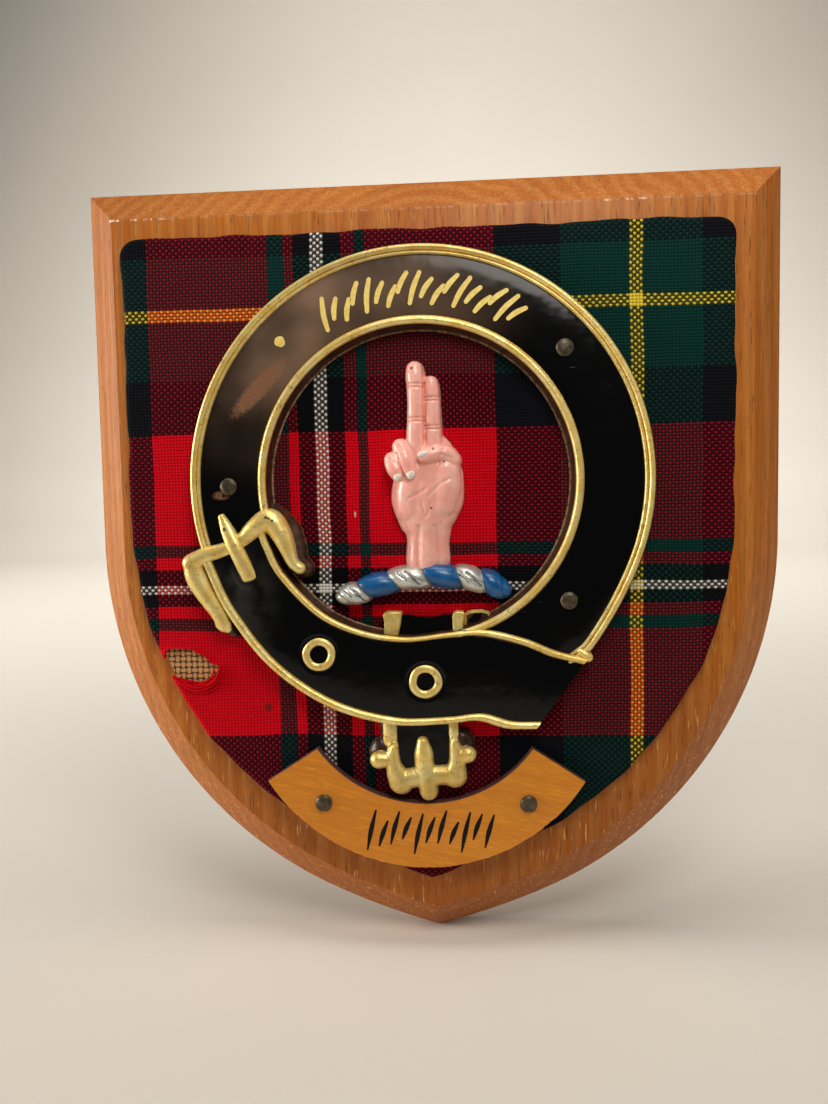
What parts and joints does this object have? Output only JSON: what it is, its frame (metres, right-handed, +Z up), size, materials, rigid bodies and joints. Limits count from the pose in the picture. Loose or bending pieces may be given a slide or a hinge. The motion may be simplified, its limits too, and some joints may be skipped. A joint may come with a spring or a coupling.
{
  "type": "wall crest plaque",
  "caption": "Bevelled shield-shaped wall plaque with a tartan-covered panel, an enamelled belt badge, a cast hand crest on a wreath and a wooden name scroll.",
  "frame": {"origin": "middle of the flat back face, halfway across its width and its height", "axes": "+Y out of the back into the wall, so the front faces -Y; +Z up the wall; +X to the right as seen from the front"},
  "size_m": [0.229, 0.032, 0.2533],
  "materials": {
    "oak": "satin varnish over vertical oak grain",
    "hardboard": "bare, with a woven mesh face",
    "tartan": "plain woven wool tartan in red, navy, green, white and yellow",
    "enamelled_metal": "black enamel band with pale gold painted borders, worn",
    "painted_casting": "glossy flesh pink, with a silver and blue wreath",
    "varnished_wood": "orange gloss varnish, dark sawn edges",
    "nail_bronze": "dark bronzed dome heads"
  },
  "bodies": {
    "root": {"shield_board": "oak", "backing_panel": "hardboard", "tartan_cloth": "tartan", "belt_badge": "enamelled_metal", "crest_hand": "painted_casting", "name_scroll": "varnished_wood", "belt_nail_1": "nail_bronze", "belt_nail_2": "nail_bronze", "belt_nail_3": "nail_bronze", "scroll_nail_1": "nail_bronze", "scroll_nail_2": "nail_bronze"}
  },
  "joints": []
}
